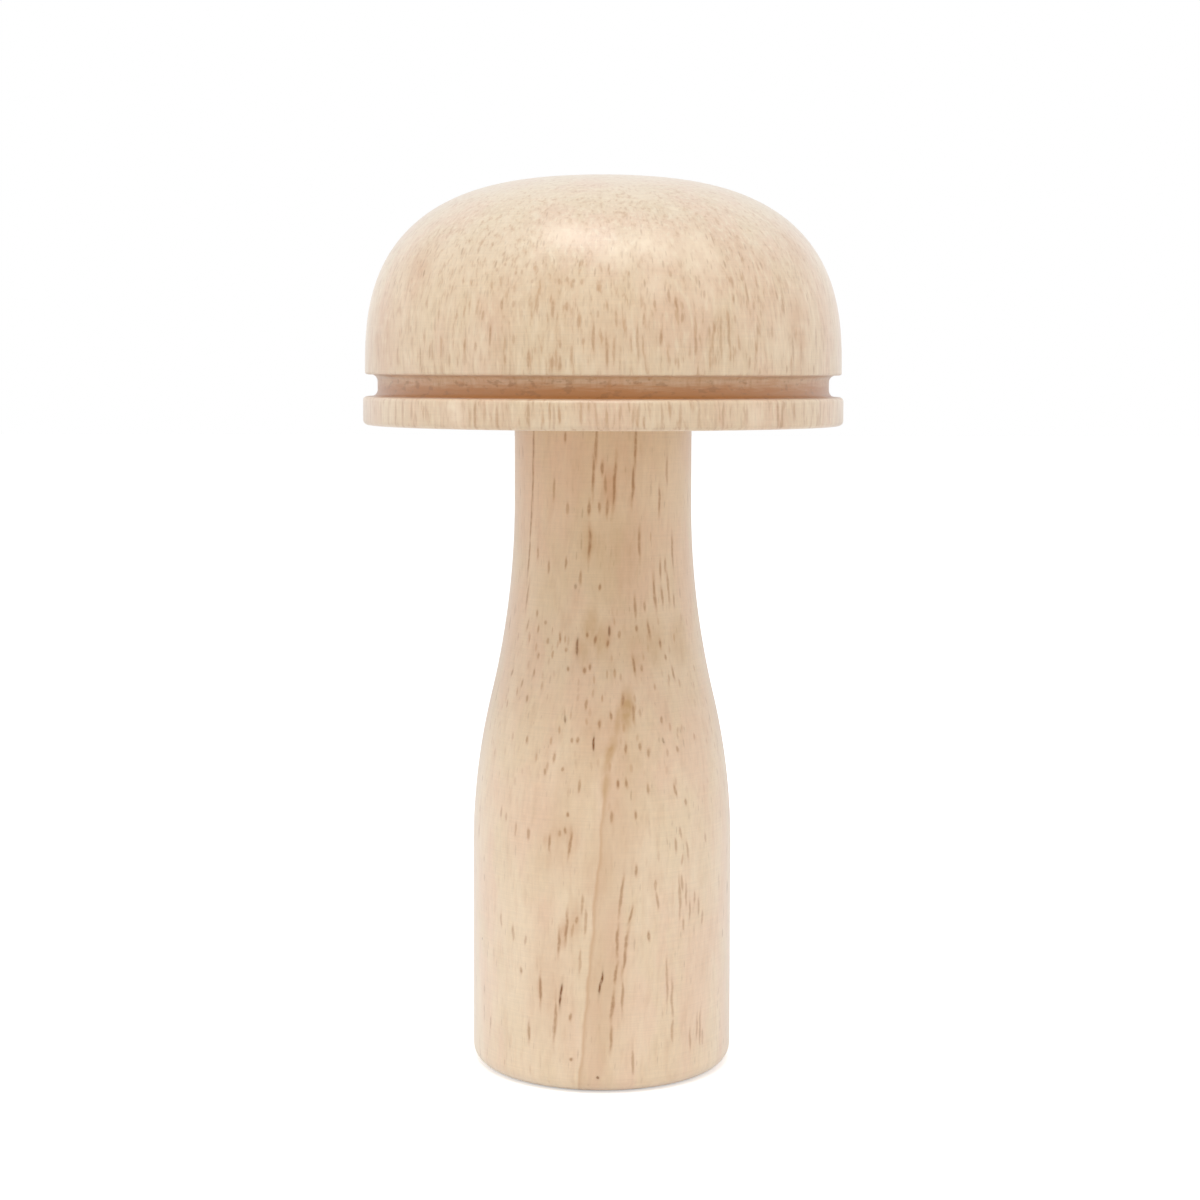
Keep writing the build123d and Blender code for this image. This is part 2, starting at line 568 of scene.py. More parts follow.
def make_line():
    """One line or patch laid on an unrolled side, added to those before it. Halo is the share of its
    darkness that spreads over the whole of it, and the rest is gathered in its core."""
    given, made = group(
        "Line", "Mask", So_Far=0.0, Place=(0, 0, 0), Turn=(0, 0, 0), Half_Size=(1, 1, 1), Darkness=0.5,
        Halo=0.3,
    )
    laid = (given["Vector"], given["Place"], given["Turn"], given["Half Size"])
    own = add("Mapping", *laid, settings={"vector_type": "TEXTURE"}).outputs[0]
    oval = add("TexGradient", own, settings={"gradient_type": "SPHERICAL"}).outputs[1]
    halo = ramp(oval, 0.0, 0.9, 0.0, given["Halo"])
    shape = work("MAXIMUM", halo, ramp(oval, 0.4, 0.75))
    shape = work("MULTIPLY", shape, given["Darkness"])
    feed(made, work("MAXIMUM", given["So Far"], shape))


def make_groups():
    """Makes every node group once."""
    if "Grain Space" in bpy.data.node_groups:
        return
    make_grain_space()
    make_vessels()
    make_streaks()
    make_growth_rings()
    make_turning_marks()
    make_unrolled()
    make_line()


# Lines on the handle's front, in millimetres: across from the axis as seen from the front,
# height of the middle, length, darkness in hundredths, and the degrees it leans to the left on its way
# down, if any.
handle_lines = [
    (-8.2, 75.6, 6, 65), (-8.3, 71.4, 7.5, 69, 1), (-8.5, 66.6, 7.5, 60, 2), (-8.75, 62.3, 6.5, 60, 3),
    (-8.95, 57.5, 4, 40, 4), (-4.4, 76.6, 1.6, 50), (-0.8, 75.8, 5.5, 50, 2), (-1.1, 72.2, 6, 60, 2),
    (-0.1, 73, 2, 60), (0.3, 71.2, 2.8, 40), (1.35, 71.2, 7.4, 64, 4), (3.75, 75.4, 6.5, 58, 2),
    (3.5, 71.2, 5.6, 64, 3), (-5.8, 70.5, 3.5, 35), (7.5, 72.5, 4.5, 32), (-4.15, 68.3, 2, 40),
    (-1.6, 68.3, 2.2, 60), (-1.6, 64.3, 4.8, 65), (-0.4, 68.5, 1.6, 50), (0.5, 68.4, 2.6, 50),
    (6.6, 69.1, 4.2, 52), (4.3, 64.3, 4.6, 48, 2), (8.25, 63, 5.4, 50, -3), (7.4, 61.4, 2.3, 40),
    (6.75, 61, 2.9, 45), (-7.7, 62.8, 1.7, 45), (-6.4, 61.3, 2, 45), (-4.4, 61.8, 1.6, 45),
    (-2.6, 60.2, 2.1, 40), (-3.2, 59.1, 0.9, 70), (-0.4, 59.1, 0.9, 55), (6.1, 58.3, 4.8, 52, -3),
    (7, 57.8, 2.6, 48), (7.7, 58.9, 5, 42), (8.4, 57.2, 2, 40), (3.8, 56.8, 3.2, 45), (4, 54.4, 0.9, 50),
    (4.9, 56.8, 1.4, 45), (5.4, 54, 2.6, 50, -5), (6.75, 52.3, 1.3, 60), (-7.8, 55.7, 1.1, 40),
    (-6.8, 54.8, 0.6, 45), (-8.9, 54.3, 1.9, 35, 9), (-7.6, 53.9, 1.2, 40), (-5, 53.2, 1.4, 50),
    (-6.5, 52.7, 0.9, 35), (-4.2, 51.8, 0.6, 45), (-2.95, 52.2, 2.9, 80), (-1.8, 53.6, 0.8, 60),
    (-0.8, 53, 1.3, 62, 4), (0.8, 54, 1.9, 72), (0.65, 52.6, 1.1, 60), (1.9, 53.6, 1.1, 35),
    (3.65, 50, 2.5, 65, -7), (4.65, 49.6, 1, 40), (-7.6, 50.8, 1, 45), (-4.05, 49.6, 0.7, 50),
    (-2.1, 49.5, 0.9, 55), (-1.5, 49.9, 1, 50), (-8.1, 48.8, 1.2, 45, 4), (-10.7, 48.5, 1.1, 45, 9),
    (-9.5, 47.5, 1.2, 40, 8), (8.35, 48.9, 2.1, 45, -8), (7.4, 50.8, 0.8, 45), (-8.9, 45.8, 1.1, 45),
    (-1.85, 45.6, 1.4, 40), (2.3, 46.1, 1.8, 50, 2), (3.6, 44.6, 2.6, 45, -4), (-4.4, 43.8, 1.4, 75, -6),
    (1, 44.3, 1.2, 55, -4), (-0.35, 43.4, 1.2, 50), (7, 43.6, 1.1, 40), (-1, 41.2, 2.3, 100, 1),
    (-8.8, 41.2, 1, 45), (-3.5, 41.5, 0.7, 45), (-2.8, 41.6, 0.9, 50), (7.1, 41.3, 1.1, 70, -4),
    (2.65, 40.6, 1.5, 50), (4.4, 40.7, 1.3, 45), (5.4, 39.9, 1.3, 40), (8.8, 40.1, 1, 40),
    (-5.65, 39.4, 1.2, 45), (-4.6, 38.2, 0.6, 50), (-2.65, 36.4, 2.1, 40, 2), (-6.6, 37.7, 1.1, 40),
    (1.75, 36.6, 1.2, 65), (2.8, 36.7, 1.4, 50), (5.3, 35.9, 1.5, 40), (8.6, 35.4, 1.8, 45, -10),
    (9.8, 33.9, 1, 40), (-3.9, 32.9, 0.7, 55), (1.1, 32.8, 1.6, 40), (3.8, 32.9, 1.2, 50),
    (-6.1, 29.5, 2.6, 50), (-5, 30.7, 0.9, 50), (-4.3, 31, 1, 50, 3), (-3.75, 29.5, 3.9, 52, 5),
    (-8.7, 30.3, 1.7, 40), (3.85, 26.5, 1.6, 50, 2), (8.6, 29.1, 2, 35), (9.1, 22.6, 6.6, 30),
    (2.2, 23.5, 6.2, 45, 5), (1.85, 18.2, 4.6, 50, 3), (1.6, 14.4, 3.3, 55, 7), (1.25, 10.7, 4.2, 60, 4),
    (1.05, 6.8, 3.8, 45, 1), (3.25, 21.3, 2.5, 55, 10), (2.75, 17, 6.3, 50, 6), (2.4, 11.7, 4.6, 40, 1),
    (-0.1, 13.3, 3.7, 100, 6), (-4.75, 11.8, 3.8, 100, 5), (-7.2, 12.1, 4.5, 65), (-5.45, 8.6, 6.8, 45, 1),
    (-4.15, 19.7, 4.8, 55, 4), (-2.95, 20.6, 1, 50, 4), (-8.6, 6.8, 3.1, 45, 1), (-9.5, 14, 0.9, 50, -6),
    (-14.4, 16.2, 0.4, 70), (-10.5, 18.5, 1.7, 35), (5.5, 18.7, 1.5, 50, -6), (6.5, 22.8, 2.7, 35, -4),
    (7.7, 13, 7.1, 30), (8.3, 10.8, 6, 30), (11.7, 6.5, 5.4, 35), (3.6, 3.8, 4, 35), (-3.6, 9.2, 1.2, 50, 3),
    (-0.5, 2.1, 0.5, 80), (-3.6, 4.1, 0.5, 55), (9.4, 24.4, 2.6, 28), (9.8, 22.9, 3.4, 31),
    (10.3, 21, 3, 31), (10.9, 22.4, 2, 28), (11.4, 21.2, 2.8, 28), (11.9, 19.8, 2.2, 25),
    (9.6, 19.4, 1.8, 28, -5), (8.3, 7, 3.6, 24), (10.4, 5.6, 3.6, 28), (11.3, 6.6, 3.2, 27),
    (12, 5.4, 2.6, 24), (10, 28.3, 2.6, 31, -6), (9.2, 30.4, 1.8, 31, -6), (12.2, 29.2, 1.6, 28, -4),
    (6.3, 24.6, 1.8, 27, -3), (-11.9, 32.3, 1.8, 28), (-11.3, 31.9, 1.4, 27), (-10.2, 30.6, 2, 27),
    (-11.9, 19.4, 2, 27), (-10.4, 17.9, 1.6, 30), (-9, 17.6, 1.6, 25), (-13.3, 6.4, 2.2, 25),
    (-2.3, 22.5, 3, 30, 3), (-1.9, 20.5, 4, 30, 3), (-3.4, 19.4, 2.2, 27, 4), (-2.6, 15.8, 3.6, 25, 3),
    (-5.05, 17.9, 3.6, 50, 2),
]
line_width = 0.72
line_stretch = 1.6  # a line fades before it ends
line_halo = 0.3
dark_line = 70  # lines from this darkness up hold dark matter
line_glow = 0.3  # the warm stain round a fine line

# Broad soft patches on the handle's front: across, height, width, length, strength, and the lean if any.
orange_patches = [
    (0.8, 70.6, 2.8, 7, 60, 2), (-3, 52, 1.8, 4.5, 30), (0.7, 53.6, 1.6, 4.5, 40),
    (-4.6, 18.8, 1.8, 6.6, 50, 2), (-6.6, 29.6, 1.6, 4.2, 50), (-7.4, 12.2, 1.4, 6.4, 40),
    (-4.9, 11.4, 1.4, 6.6, 40, 4), (-3.9, 30, 1.6, 5.6, 40, 4), (-5.6, 29, 8, 14, 30), (-6, 13, 9, 26, 30),
    (-0.5, 41.7, 10, 13, 25), (0.2, 13.5, 8, 30, 22), (-0.8, 26, 6, 18, 30, 3), (3, 30, 8, 16, 14),
    (-3.2, 20.3, 3.4, 9, 35, 3), (6, 25.3, 4, 7, 20),
]
gold_patches = [
    (-2.4, 72, 9, 17, 10), (-1.6, 64.4, 3, 8, 40), (-1.4, 54.6, 3.4, 8, 50, 3), (-2.2, 51.6, 2.4, 6, 40),
    (1, 63, 11, 20, 24), (2.2, 74, 9, 12, 12), (-5.5, 60, 7, 14, 10), (4.2, 52, 7, 10, 30),
    (2.8, 45, 2.8, 7.4, 85, 4), (1.9, 44, 1.5, 6.8, 50, 9), (0.8, 40, 1.7, 7.2, 65, 16),
    (3.5, 44.4, 1.1, 4.4, 50, -8), (0.9, 40.6, 1.1, 1.8, 80, 25), (0.4, 36.4, 1.8, 5, 50, 4),
    (-4.2, 33, 6, 14, 20), (6, 52.5, 6, 9, 40), (9, 52.5, 5, 9, 35), (3, 40, 5, 12, 16),
    (-0.2, 53, 3.2, 8, 45),
]

# Lines on the cap's front: on the dome, and then down the rim.
cap_lines = [
    (-26, 86.4, 3, 30), (-23.4, 86.1, 3, 35), (-22.9, 88.8, 1.2, 23), (-21.7, 89, 1.2, 28),
    (-20.5, 85.7, 3.3, 55), (-19.4, 86.4, 2.4, 45), (-17.1, 85.5, 1.8, 35), (-15.3, 87.3, 1.9, 50),
    (-14, 87, 1.4, 40), (-12.4, 88.1, 3.2, 50), (-13.3, 90.4, 1.5, 35), (-16.3, 90.3, 1.2, 23),
    (-11.1, 91.4, 1.4, 45), (-9.9, 91.6, 1.1, 28), (-9.8, 87.8, 1.5, 40), (-10.8, 85.6, 1.4, 40),
    (-8.2, 85.5, 3, 55), (-7.8, 94, 0.6, 28), (-7.3, 91.5, 3, 30), (-5.5, 91, 2.7, 45), (-4, 91.3, 1.5, 35),
    (-4.7, 87.2, 1.5, 40), (-4.8, 85.1, 2.1, 45), (-5.7, 85.2, 1.8, 30), (-3.5, 86, 2.7, 30),
    (-2.7, 89.8, 2.1, 35), (-2.2, 87.5, 0.9, 35), (-1.1, 88, 4.3, 50), (-0.6, 90.5, 1.3, 28),
    (-5, 94, 0.9, 38), (-4, 94.3, 0.9, 33), (-3.3, 94.1, 0.6, 33), (-2.4, 94, 0.9, 33),
    (-11.7, 95.3, 0.6, 28), (-10.8, 95.9, 0.6, 28), (-9.6, 95, 0.6, 28), (-8.9, 95, 0.7, 28),
    (-21.9, 93.3, 0.5, 28), (0.3, 86.7, 4.7, 50), (1.3, 90, 2.4, 35), (1.1, 86.4, 4.2, 30),
    (3.7, 87.5, 5.6, 45), (4.4, 90, 1.8, 40), (5.6, 91.6, 1.3, 38), (6.2, 87.9, 2.4, 50),
    (7.2, 94.9, 0.9, 33), (7.1, 92.5, 2.1, 45), (7.9, 91.8, 1.8, 45), (8.6, 90.1, 1.5, 45),
    (10, 87.2, 3.3, 45), (11, 92.7, 1.2, 28), (12, 89, 2.1, 30), (12.9, 88.1, 6.2, 30),
    (13.8, 88.4, 5.6, 45), (14.5, 90, 1.2, 23), (15.8, 92.8, 3.3, 40), (16.6, 91.5, 1.2, 33),
    (16.9, 87, 1.8, 35), (16.1, 85.2, 1.8, 35), (19.3, 92.8, 1.5, 45), (20.1, 91.8, 3, 45),
    (21.3, 86.9, 3.9, 45), (22.3, 86.4, 3.6, 35), (24.2, 88.1, 2.7, 40), (20.5, 84.6, 1.3, 50),
    (14.1, 94.1, 1.8, 35), (23.3, 90, 1.2, 18), (-26.9, 79.5, 4, 23), (-25.4, 79.5, 4, 27),
    (-23.4, 79.5, 4, 36), (-22.5, 79.5, 4, 27), (-21.4, 79.8, 3, 27), (-19.7, 79.8, 3, 27),
    (-14, 79.4, 4.4, 50), (-13, 79.5, 3, 23), (-11.6, 79.3, 3.4, 32), (-8.1, 79.6, 4.6, 47),
    (-5.8, 79.5, 4, 25), (-5.3, 79.2, 4, 29), (-4.7, 79.8, 3, 27), (-2.4, 79.5, 3, 23),
    (-0.9, 79.5, 3.4, 25), (1.8, 79.8, 2.4, 25), (3.2, 79.2, 3, 29), (3.8, 79.5, 4, 29),
    (4.4, 78.9, 1.6, 32), (6.3, 79.5, 3.4, 29), (7.2, 80, 2, 25), (8.3, 79.5, 4, 29), (10.3, 79.2, 3, 25),
    (13, 79.5, 4.4, 36), (15.7, 79.5, 3, 25), (19.3, 79.5, 4.6, 50), (19.8, 79.3, 4, 43),
    (21.3, 79.8, 3, 25), (22.5, 79.5, 4, 29), (24.6, 79.5, 4.4, 38), (25.9, 79.5, 3.4, 27),
]

# Broad soft patches on the cap's front, in the same order. The tan ones at the cap's left edge paint shade
# on that side.
cap_tan_and_shade_patches = [
    (-25.5, 88, 14, 16, 36), (-27.2, 87, 5, 14, 30), (-21, 96, 9, 12, 22), (25.5, 89, 8, 15, 12),
    (22.2, 88, 5.5, 15, 30), (22, 98, 8, 9, 26), (-5.8, 93.5, 5, 6, 7), (0.2, 88.3, 7, 10, 17),
    (-11, 90.5, 5, 7, 10), (12.5, 90, 4, 8, 5), (-4.2, 88, 4, 8, 10),
]
cap_pale_patches = [
    (5.6, 97.8, 9, 7, 60), (10.4, 97, 8, 9, 60), (5.4, 93.5, 7, 6, 40), (11, 93, 7, 7, 35),
    (-4.5, 99.5, 9, 5, 35), (-14, 86, 5, 8, 25), (2.2, 97, 9, 5, 50), (-16.5, 79.5, 5, 6, 60),
    (16.5, 79.5, 4, 6, 40),
]

# On the cap the lines are drawn fainter, with a fainter glow.
cap_line_strength = 0.82
cap_line_glow = 0.2

# The growth ring that shows on the handle's front: its sharp edge at two heights, and how far it fades.
ring_edge_top = (0.35, 40.0)
ring_edge_foot = (-2.35, 1.0)
ring_fade = 4.6
ring_strength = 0.3
ring_line_strength = 0.5

# Width and reach of the wood's soft patterns in millimetres, from the broadest to the finest.
broad_patch = (7.0, 16.0)
small_patch = (4.0, 9.0)
blotch = (1.5, 4.5)
fibre_size = (0.3, 1.3)
hairline_size = (0.16, 5.0)  # the width up the piece, and the reach round it
handle_cloud = (2.0, 1.0)
cap_cloud = (2.5, 1.0)
pore_cluster = (3.0, 3.0)
bead = (0.8, 0.8)  # the unevenness along a pore
elsewhere = (57, 31, 12)  # a shift to another place in the tree
raggedness = 0.12

# How strongly each pattern shows, in colour and then in roughness and relief.
straw_strength = 0.7
ring_tint = 0.08
blotch_strength = 0.22
fibre_shade = (0.96, 1.04)
hairline_shade = (0.965, 1.035)
roughness_range = (0.42, 0.56)
pore_roughness = 0.15
fibre_relief = 0.2
pore_relief = -0.2
hairline_relief = 0.12
relief_height = 0.03 * MM

# Kinds of pores on an unrolled side: spacing, reach, width, amount and darkness.
flare_pores = ((0.8, 2.4, 0.24, 0.7, 0.48),)
right_pores = ((1.2, 6.0, 0.2, 0.55, 0.5),)
back_pores = ((0.8, 2.6, 0.22, 0.5, 0.5), (1.3, 6.5, 0.26, 0.6, 0.7))
dome_pores = ((0.45, 5.0, 0.13, 0.7, 0.5), (0.8, 8.0, 0.2, 0.85, 0.75))
lip_pores = ((1.3, 7.0, 0.3, 0.8, 0.75),)
pore_shortening = 0.09  # pores look shorter up the dome, where its surface turns from the grain
layer_gap = 10.0  # each kind is taken from a layer of its own

# Where the pores and the painted shade under the cap set in and fade: heights, and millimetres round from
# the front.
flare_heights = (27.0, 46.0, 53.0, 59.0)
low_heights = (34.0, 26.0)
high_heights = (51.0, 55.0, 64.0, 69.0)
neck_shade_heights = (70.0, 12.0)
handle_right = (2.0, 7.0)
handle_back = (12.0, 16.0)
cap_back = (34.0, 42.0)
crown_edge = (15.0, 22.0)  # out from the axis
handle_flat = 13.0  # the radius at which the handle's side is laid flat

# The groove's painted shade, darkest low down, the painted shade under the lip, and dark spots: size of the
# marks, then how uneven and how strong they are.
groove_streak = (0.35, 3.0)
groove_spot = (0.7, 1.2)
groove_unevenness = 1.8
groove_shade_at_lip = 0.3
lip_shade = 0.28
spot_wear = 0.45


def lay_places(laid, places, halo):
    """Lays listed lines or patches on a side, and gives the mask of them all. laid holds the unrolled
    side, the function that gives its radius at a height, and the radius at which it was laid flat."""
    side, radius_at, flat_radius = laid
    mask = 0.0
    for across, height, width, reach, darkness, *lean in places:
        radius = radius_at(height * MM) / MM
        way_round = asin(max(-0.98, min(0.98, across / radius))) * flat_radius
        mask = place_group(
            "Line", Vector=side, Place=(way_round, height, 0), Darkness=darkness / 100, Halo=halo,
            Turn=(0, 0, -radians(lean[0]) if lean else 0),
            Half_Size=(width / 2 * flat_radius / radius, reach / 2, 1), So_Far=mask,
        )
    return mask


def lay_patches(laid, cloud, cloud_levels, patches, base):
    """Lays listed patches of several colours, uneven like clouds."""
    clouds = ramp(soft_streaks(laid[0], *cloud, detail=3.0), 0.3, 0.6, *cloud_levels)
    for places, shade in patches:
        base = tint(product(lay_places(laid, places, 1.0), clouds), base, shade)
    return base


def draw_pores(laid, lines, base, glow, shade, strength=1.0):
    """Draws listed pores, uneven along their length, each in a warm glow."""
    uneven = soft_streaks(laid[0], *bead, detail=3.0)
    beads = ramp(uneven, 0.35, 0.55, 0.6 * strength, strength)
    places = [(x, z, line_width, long * line_stretch, *rest) for x, z, long, *rest in lines]
    mask = product(lay_places(laid, places, line_halo), beads)
    base = tint(ramp(mask, 0.0, 0.1, 0.0, glow), base, bpy.context.scene.wood_colours.stain)
    return tint(mask, base, shade)


def side_pores(side, kinds, foot=0.0, shortening=0.0):
    """Pores drawn along an unrolled side. They get shorter above the foot by the shortening."""
    round_way, height, _ = add("SeparateXYZ", side).outputs
    above = work("MAXIMUM", work("SUBTRACT", height, foot), 0.0)
    up = work("MULTIPLY_ADD", product(above, above), shortening, height)
    mask = 0.0
    for layer, kind in enumerate(kinds):
        space = add("CombineXYZ", round_way, layer_gap * layer, up).outputs[0]
        mask = work("MAXIMUM", vessels(space, *kind), mask)
    return mask


def front_ring(round_way, up):
    """The growth ring that runs down the front of the handle: sharp on its left, fading to its right."""
    (top_across, top_height), (foot_across, foot_height) = ring_edge_top, ring_edge_foot
    lean = (top_across - foot_across) / (top_height - foot_height)
    edge = work("MULTIPLY_ADD", work("SUBTRACT", up, foot_height), lean, foot_across)
    past = work("SUBTRACT", round_way, edge)
    sharp = ramp(past, -0.1, 0.25)
    band = product(sharp, ramp(past, 1.6, ring_fade, 1.0, 0.0), ring_strength)
    line = product(sharp, ramp(past, 0.1, 0.6, ring_line_strength, 0.0))
    return product(work("ADD", band, line), ramp(up, top_height + 2, top_height - 6))


def new_material(name):
    """A material with its node tree and its shader."""
    material = bpy.data.materials.new(name)
    material.use_nodes = True
    return material, material.node_tree, material.node_tree.nodes["Principled BSDF"]


def wood(name, cut_from, lean, waviness, ring_pith, streaks, flecks, pores, lay_by_hand):
    """The pale hardwood. streaks gives width, reach and strength of the soft streaks, flecks and pores
    give spacing, reach, width, amount and darkness of the fine and the open pores, and lay_by_hand adds
    what is placed one by one on one piece."""
    make_groups()
    colours = bpy.context.scene.wood_colours
    material, tree, shader = new_material(name)
    coords = tree.nodes.new("ShaderNodeTexCoord").outputs["Object"]
    grain = place_group(
        "Grain Space", Vector=coords, Cut_From=cut_from, Lean=lean, Waviness=waviness, Raggedness=raggedness
    )
    moved = vector_work("ADD", grain, elsewhere)
    broad = soft_streaks(grain, *broad_patch)
    small = soft_streaks(moved, *small_patch)
    *streak_size, streak_strength = streaks
    streak = soft_streaks(moved, *streak_size)
    blotches = soft_streaks(grain, *blotch)
    fibre = soft_streaks(grain, *fibre_size, detail=3.0)
    rings = place_group("Growth Rings", Vector=grain, Pith=ring_pith, Spacing=4.2, Wobble=0.8)
    masks = (vessels(grain, *flecks), vessels(moved, *pores))
    hairlines = turning_marks(scaled(coords, 1 / MM), *hairline_size)
    base = tint(ramp(broad, 0.4, 0.6), colours.cream, colours.rose)
    base = tint(ramp(small, 0.45, 0.65, 0.0, straw_strength), base, colours.straw)
    base = tint(product(rings, ring_tint), base, colours.late_wood)
    base = tint(ramp(blotches, 0.5, 0.75, 0.0, blotch_strength), base, colours.late_wood)
    base = tint(ramp(streak, 0.52, 0.75, 0.0, streak_strength), base, colours.late_wood)
    base = tint(ramp(streak, 0.5, 0.28, 0.0, streak_strength), base, colours.pale)
    sanding = slope(hairlines, 0.25, 0.75, *hairline_shade)
    shade = product(slope(fibre, 0.25, 0.75, *fibre_shade), sanding)
    base = tint(1.0, base, add("CombineXYZ", shade, shade, shade).outputs[0], "MULTIPLY")
    open_pores = product(work("MAXIMUM", *masks), ramp(small, 0.3, 0.6, 0.45, 1.0))
    base = lay_by_hand(coords, tint(open_pores, base, colours.vessel))
    rough = work("MULTIPLY_ADD", open_pores, pore_roughness, slope(fibre, 0.2, 0.8, *roughness_range))
    relief = work("MULTIPLY_ADD", open_pores, pore_relief, product(fibre, fibre_relief))
    relief = work("MULTIPLY_ADD", hairlines, hairline_relief, relief)
    bump = add("Bump", Strength=0.5, Distance=relief_height, Height=relief)
    feed_by_name(shader, Base_Color=base, Roughness=rough, Normal=bump.outputs[0])
    return material, shader


def handle_by_hand(coords, base):
    """Lays the painted shade on the neck under the cap, the growth ring, the patches and the pores of the
    handle.
    """
    colours = bpy.context.scene.wood_colours
    side = place_group("Unrolled Side", Vector=coords, Radius=handle_flat)
    laid = (side, partial(handle_radius, bpy.context.scene.handle_sizes), handle_flat)
    round_way, up, _ = add("SeparateXYZ", side).outputs
    # Painted shade under the cap: the wood is darkened at the neck and comes back toward the foot.
    brown = tint(1.0, base, colours.neck_painted_shade, "MULTIPLY")
    base = tint(ramp(up, *neck_shade_heights), brown, base)
    base = tint(front_ring(round_way, up), base, colours.late_wood)
    both_ends = work("MAXIMUM", ramp(up, *low_heights), within(up, *high_heights))
    right = product(ramp(round_way, *handle_right, 0.4, 1.0), both_ends)
    behind = ramp(work("ABSOLUTE", round_way), *handle_back)
    for kinds, where, shade in (
        (flare_pores, within(up, *flare_heights), colours.rust),
        (right_pores, right, colours.rust),
        (back_pores, behind, colours.vessel),
    ):
        base = tint(product(side_pores(side, kinds), where), base, shade)
    patches = ((gold_patches, colours.gold), (orange_patches, colours.stain))
    base = lay_patches(laid, handle_cloud, (0.7, 1.05), patches, base)
    fine = [line for line in handle_lines if line[3] < dark_line]
    dark = [line for line in handle_lines if line[3] >= dark_line]
    base = draw_pores(laid, fine, base, line_glow, colours.vessel)
    return draw_pores(laid, dark, base, 0.0, colours.dark_vessel)


def cap_by_hand(coords, base):
    """Lays the tones, with a painted sheen at the crown, the patches, of which those at the left edge are
    painted shade, and the pores of the cap, and paints shade into its groove.
    """
    sizes = bpy.context.scene.cap_sizes
    colours = bpy.context.scene.wood_colours
    rim_top = (sizes.underside + sizes.rim_thickness) / MM
    lip = rim_top + sizes.groove_height / MM
    flat_radius = sizes.dome / 2 / MM
    place = scaled(coords, 1 / MM)
    up = add("SeparateXYZ", place).outputs[2]
    out = from_axis(place)

    def above_lip(low, high, *levels):
        """A smooth step between two heights above the lip."""
        return ramp(up, lip + low, lip + high, *levels)

    # Painted sheen: the cap's tone turns whiter toward the crown, where the lamp's sheen falls.
    tone = tint(above_lip(8.0, 19.0), colours.cap_tone, colours.crown_painted_sheen)
    base = tint(1.0, base, tone, "MULTIPLY")
    side = place_group("Unrolled Side", Vector=coords, Radius=flat_radius)
    laid = (side, partial(dome_radius, sizes), flat_radius)
    # The tan patches at the cap's left edge are painted shade on that side; the others are the wood's own
    # tone.
    patches = ((cap_tan_and_shade_patches, colours.tan_and_painted_shade), (cap_pale_patches, colours.pale))
    base = lay_patches(laid, cap_cloud, (0.4, 1.1), patches, base)
    on_dome = ramp(up, rim_top, rim_top + 1.0, 0.4, 1.0)
    on_dome = product(on_dome, above_lip(9.0, 19.0, 1.0, 0.35))
    fine = product(side_pores(side, dome_pores, lip, pore_shortening), on_dome)
    on_rim = ramp(up, rim_top + 1.0, rim_top)
    near_lip = work("MAXIMUM", above_lip(11.0, 4.0), on_rim)
    broad = product(side_pores(side, lip_pores, lip), near_lip)
    round_way = work("ABSOLUTE", add("SeparateXYZ", side).outputs[0])
    # In front, where the clearest pores are placed one by one, those that come by chance are fainter.
    by_chance = work("MAXIMUM", ramp(round_way, *cap_back), above_lip(6.0, 13.0, 0.38, 1.0))
    clusters = ramp(soft_streaks(place, *pore_cluster), 0.35, 0.6, 0.5, 1.0)
    clusters = product(clusters, ramp(out, *crown_edge))
    pores = product(work("MAXIMUM", fine, broad), by_chance)
    base = tint(product(pores, clusters), base, colours.vessel)
    base = draw_pores(laid, cap_lines, base, cap_line_glow, colours.vessel, cap_line_strength)
    floor = (sizes.rim / 2 - sizes.groove_depth) / MM
    inside = within(up, rim_top - 0.05, rim_top + 0.1, lip - 0.02, lip + 0.12)
    inside = product(inside, ramp(out, floor + 1.45, floor + 1.15))
    return shade_groove(place, up, inside, rim_top, lip, base)


def shade_groove(place, up, inside, rim_top, lip, base):
    """Paints shade into the groove, strongest low down and fainter toward the lip, a thin painted shade
    right under the lip, and a few dark spots.
    """
    colours = bpy.context.scene.wood_colours
    streaks = work("SUBTRACT", turning_marks(place, *groove_streak), 0.5)
    uneven = work("MULTIPLY_ADD", streaks, groove_unevenness, up)
    # Painted shade in the groove, strongest low down and fading toward the lip.
    depth = ramp(uneven, rim_top + 0.7, lip - 0.2, 1.0, groove_shade_at_lip)
    base = tint(product(inside, depth), base, colours.tan_and_painted_shade)
    # Painted shade: a thin dark line right under the dome's lip.
    under_lip = ramp(uneven, lip - 0.7, lip - 0.05, 0.0, lip_shade)
    spots = ramp(turning_marks(place, *groove_spot), 0.54, 0.68, 0.0, spot_wear)
    dark = work("MAXIMUM", under_lip, spots)
    return tint(product(inside, dark), base, colours.vessel)


def plain(coords, base):
    """Nothing more is laid."""
    return base


# Operators

class TurnCap(bpy.types.Operator):
    """Turn the domed cap with its band groove"""

    bl_idname = "darning.turn_cap"
    bl_label = "Turn Cap"

    def execute(self, context):
        material, shader = wood(
            "cap_wood", cut_from=(40, 12, 5), lean=(0.01, 0.02, 0), waviness=0.8, ring_pith=(30, 55, 0),
            streaks=(0.55, 2.6, 0.75), flecks=(0.45, 2.6, 0.12, 0.8, 0.2), pores=(0.7, 4.2, 0.2, 0.7, 0.18),
            lay_by_hand=cap_by_hand,
        )
        feed_by_name(shader, Sheen_Weight=0.35, Sheen_Roughness=0.5, Coat_Weight=1.0, Coat_Roughness=0.37)
        finish_piece(turn_cap(), "cap", material)
        return {"FINISHED"}


